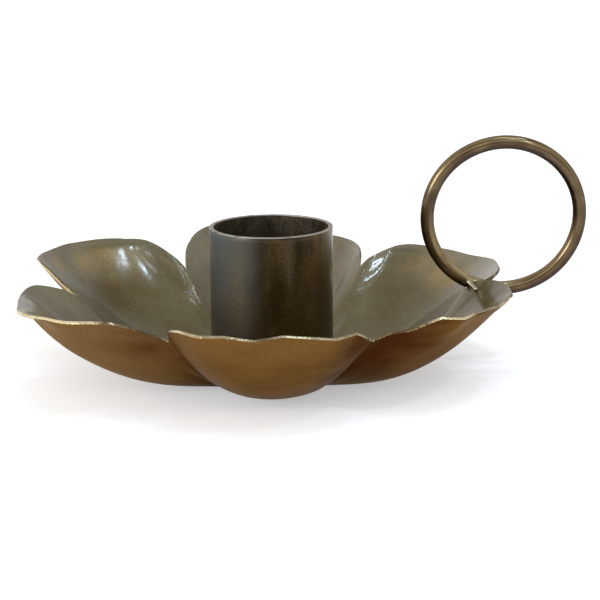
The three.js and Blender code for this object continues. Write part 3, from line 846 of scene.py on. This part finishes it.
def white_table(finish):
    """Painted board, matt and nearly white: seen rays get a lift to white, and the shadow stays."""
    material, tree = new_material("painted_table")
    rays = add(tree, "ShaderNodeLightPath").outputs
    seen = add(tree, "ShaderNodeMath", {0: rays["Is Camera Ray"], 1: rays["Is Glossy Ray"]}, operation="ADD")
    seen = add(tree, "ShaderNodeMath", {0: seen, 1: rays["Is Transmission Ray"]}, operation="ADD")
    lift = add(tree, "ShaderNodeMath", {0: seen, 1: TABLE_LIFT}, operation="MULTIPLY")
    skin = add(tree, "ShaderNodeBsdfPrincipled", {
        "Base Color": rgba(finish.floor), "Roughness": 0.9, "Specular IOR Level": 0.0,
        "Emission Color": (1.0, 1.0, 1.0, 1.0), "Emission Strength": lift,
    })
    add(tree, "ShaderNodeOutputMaterial", {"Surface": skin})
    return material


def place_piece(piece, node, materials):
    """Gives a piece its materials and sets it in the place of its solid."""
    for material in materials:
        piece.data.materials.append(material)
    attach(piece, "root")
    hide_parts(node)


# Operators


class CHAMBERSTICK_OT_flower_dish(Operator):
    """Presses the dish of petals and dresses its two skins and its rim"""

    bl_idname = "chamberstick.flower_dish"
    bl_label = "Flower dish"

    def execute(self, context):
        finish = context.scene.chamberstick_finish
        dish = flower_sheet(context.scene.chamberstick_sizes)
        skins = [lacquered_patina(finish), browned_back(finish), snipped_edge(finish)]
        place_piece(dish, "flower_dish", skins)
        return {"FINISHED"}


class CHAMBERSTICK_OT_candle_cup(Operator):
    """Draws the candle cup with its lip and floor"""

    bl_idname = "chamberstick.candle_cup"
    bl_label = "Candle cup"

    def execute(self, context):
        sizes, finish = context.scene.chamberstick_sizes, context.scene.chamberstick_finish
        outline = cup_outline(sizes)
        lip = sizes.cup_top - SAWN_DEPTH
        pairs = list(zip(outline, outline[1:]))
        tops = [i for i, (one, two) in enumerate(pairs) if min(one[1], two[1]) >= lip]
        slots = [0] * tops[0] + [1] * len(tops) + [2] * (len(pairs) - tops[-1])
        poles = ((0, 0, sizes.sheet), (0, 0, outline[-1][1]))
        cup = skin_mesh("candle_cup_tube", turned_grid(outline, CUP_SIDES, CUP_WAVER), poles, slots)
        skins = [darkened_cup(finish), sawn_lip(finish), sooted_bore(finish)]
        place_piece(cup, "candle_cup", skins)
        return {"FINISHED"}


class CHAMBERSTICK_OT_ring_handle(Operator):
    """Bends the wire ring and seats it in its notch"""

    bl_idname = "chamberstick.ring_handle"
    bl_label = "Ring handle"

    def execute(self, context):
        sizes = context.scene.chamberstick_sizes
        grid = ring_grid(sizes)
        ring = skin_mesh("ring_handle_wire", grid)
        upward = (grid - grid.mean(1, keepdims=True))[..., 2] / sizes.wire_radius
        point_values(ring, "upward", upward.ravel())
        place_piece(ring, "ring_handle", [drawn_wire(context.scene.chamberstick_finish)])
        return {"FINISHED"}


class CHAMBERSTICK_OT_solder(Operator):
    """Runs the solder round the cup's foot and at the ring"""

    bl_idname = "chamberstick.solder"
    bl_label = "Solder"

    def execute(self, context):
        sizes = context.scene.chamberstick_sizes
        solder = bare_solder(context.scene.chamberstick_finish)
        inner, low, leg = sizes.cup_bore + sizes.cup_wall, sizes.sheet, sizes.solder_leg
        outline = [(inner, low)]
        for step in range(FILLET_STEPS + 1):
            turn = math.pi / 2 * step / FILLET_STEPS
            outline.append((inner + leg * (1 - math.sin(turn)), low + leg * (1 - math.cos(turn))))
        fillet = skin_mesh("cup_solder_fillet", turned_grid(outline, CUP_SIDES, FILLET_WAVER))
        place_piece(fillet, "cup_solder_ring", [solder])
        start, end = (Vector(place) for place in NUB_RUN)
        drops = [(start.lerp(end, step / NUB_STEPS), *NUB_RUN_DROP) for step in range(NUB_STEPS + 1)]
        nub = solder_lump("ring_solder_nub", [*drops, *NUB_DROPS])
        place_piece(nub, "ring_solder_bead", [solder])
        return {"FINISHED"}


class CHAMBERSTICK_OT_stage(Operator):
    """Sets the white table, the soft lamps and the camera"""

    bl_idname = "chamberstick.stage"
    bl_label = "Stage"

    def execute(self, context):
        scene = context.scene
        scene.view_settings.view_transform = "Standard"
        mesh = bpy.data.meshes.new("table")
        corners = [(TABLE_HALF * x, TABLE_HALF * y, 0) for x, y in ((-1, -1), (1, -1), (1, 1), (-1, 1))]
        mesh.from_pydata(corners, [], [(0, 1, 2, 3)])
        table = bpy.data.objects.new("table", mesh)
        table.location.z = -TABLE_DROP
        mesh.materials.append(white_table(scene.chamberstick_finish))
        scene.collection.objects.link(table)
        self.light_world(scene)
        for name, place, size, watts in SKYLIGHTS:
            self.hang_lamp(scene, name, size, watts, linear(SKYLIGHT_TINT)).location = place
        for name, place, size, watts in SOFT_LAMPS:
            lamp = self.hang_lamp(scene, name, size, watts, linear(SOFT_TINT))
            lamp.location = place
            lamp.rotation_euler = (-lamp.location).to_track_quat("-Z", "Y").to_euler()
        self.set_camera(scene)
        return {"FINISHED"}

    def light_world(self, scene):
        """White walls, dim in one corner and in front, and a grey ceiling. The camera sees plain white."""
        world = bpy.data.worlds.new("white_room")
        world.use_nodes = True
        tree = world.node_tree
        tree.nodes.clear()
        rays = add(tree, "ShaderNodeLightPath").outputs
        way = add(tree, "ShaderNodeTexCoord").outputs["Generated"]
        axes = add(tree, "ShaderNodeSeparateXYZ", {"Vector": way}).outputs
        corner = add(tree, "ShaderNodeVectorMath", {0: way, 1: FAR_CORNER}, operation="DOT_PRODUCT")
        far = add(tree, "ShaderNodeMapRange", {0: corner, 1: 0.7, 2: 0.98, 3: 1.0, 4: 0.6})
        near = add(tree, "ShaderNodeMapRange", {0: axes["Y"], 1: -0.35, 2: -0.85, 3: 1.0, 4: 0.4})
        wall = add(tree, "ShaderNodeMath", {0: far, 1: near}, operation="MINIMUM")
        lee = add(tree, "ShaderNodeVectorMath", {0: way, 1: BRIGHT_SIDE}, operation="DOT_PRODUCT")
        dim = add(tree, "ShaderNodeMapRange", {0: lee, 1: -0.09, 2: 0.0, 3: 0.34, 4: 0.47})
        lit = add(tree, "ShaderNodeMapRange", {0: lee, 1: 0.05, 2: 0.2, 3: 0.0, 4: 0.42})
        roof = add(tree, "ShaderNodeMath", {0: dim, 1: lit}, operation="ADD")
        ceiling = add(tree, "ShaderNodeMapRange", {
            0: axes["Z"], 1: WALL_TOP, 2: CEILING_EDGE, 3: wall, 4: roof,
        }, interpolation_type="SMOOTHSTEP")
        mirror = add(tree, "ShaderNodeMath", {
            0: rays["Is Glossy Ray"], 1: rays["Is Transmission Ray"],
        }, operation="MAXIMUM")
        shiny = add(tree, "ShaderNodeMix", {0: mirror, 2: ROOM_LEVEL, 3: ceiling})
        level = add(tree, "ShaderNodeMath", {0: shiny, 1: rays["Is Camera Ray"]}, operation="MAXIMUM")
        white = add(tree, "ShaderNodeBackground", {"Color": (1.0, 1.0, 1.0, 1.0), "Strength": level})
        add(tree, "ShaderNodeOutputWorld", {"Surface": white})
        scene.world = world

    def hang_lamp(self, scene, name, size, watts, tint):
        """A plain lamp that shines down and that the camera doesn't see."""
        lamp = bpy.data.lights.new(name, "AREA")
        lamp.shape, lamp.energy, lamp.color = "RECTANGLE", watts, tint
        lamp.size, lamp.size_y = size
        holder = bpy.data.objects.new(name, lamp)
        holder.visible_camera = False
        scene.collection.objects.link(holder)
        return holder

    def set_camera(self, scene):
        """A long lens from the front, a little above the cup, held with a slight roll."""
        lens = bpy.data.cameras.new("front_view")
        lens.sensor_width, lens.lens, lens.clip_start = SENSOR, LENS, 10 * MM
        back = Vector((0, -math.cos(CAMERA_RISE), math.sin(CAMERA_RISE)))
        level = Vector((0, math.sin(CAMERA_RISE), math.cos(CAMERA_RISE)))
        right = math.cos(CAMERA_ROLL) * Vector((1, 0, 0)) - math.sin(CAMERA_ROLL) * level
        up = math.sin(CAMERA_ROLL) * Vector((1, 0, 0)) + math.cos(CAMERA_ROLL) * level
        camera = bpy.data.objects.new("front_view", lens)
        place = Matrix.Translation(CAMERA_AIM + back * CAMERA_BACK)
        camera.matrix_world = place @ Matrix((right, up, back)).transposed().to_4x4()
        scene.collection.objects.link(camera)
        scene.camera = camera


class CHAMBERSTICK_PT_pieces(Panel):
    """Lists the pieces, their sizes and their colours"""

    bl_idname = "CHAMBERSTICK_PT_pieces"
    bl_label = "Chamberstick"
    bl_space_type = "VIEW_3D"
    bl_region_type = "UI"
    bl_category = "Chamberstick"

    def draw(self, context):
        for piece in PIECES:
            self.layout.operator(piece.bl_idname)
        for settings in (context.scene.chamberstick_sizes, context.scene.chamberstick_finish):
            box = self.layout.box()
            for name in settings.__annotations__:
                box.prop(settings, name)


PIECES = (
    CHAMBERSTICK_OT_flower_dish,
    CHAMBERSTICK_OT_candle_cup,
    CHAMBERSTICK_OT_ring_handle,
    CHAMBERSTICK_OT_solder,
    CHAMBERSTICK_OT_stage,
)
CLASSES = (ChamberstickSizes, ChamberstickFinish, *PIECES, CHAMBERSTICK_PT_pieces)


def register():
    for cls in CLASSES:
        bpy.utils.register_class(cls)
    bpy.types.Scene.chamberstick_sizes = PointerProperty(type=ChamberstickSizes)
    bpy.types.Scene.chamberstick_finish = PointerProperty(type=ChamberstickFinish)


def unregister():
    del bpy.types.Scene.chamberstick_finish
    del bpy.types.Scene.chamberstick_sizes
    for cls in reversed(CLASSES):
        bpy.utils.unregister_class(cls)


def main():
    register()
    bpy.ops.chamberstick.flower_dish()
    bpy.ops.chamberstick.candle_cup()
    bpy.ops.chamberstick.ring_handle()
    bpy.ops.chamberstick.solder()
    bpy.ops.chamberstick.stage()


if __name__ == "__main__":
    main()
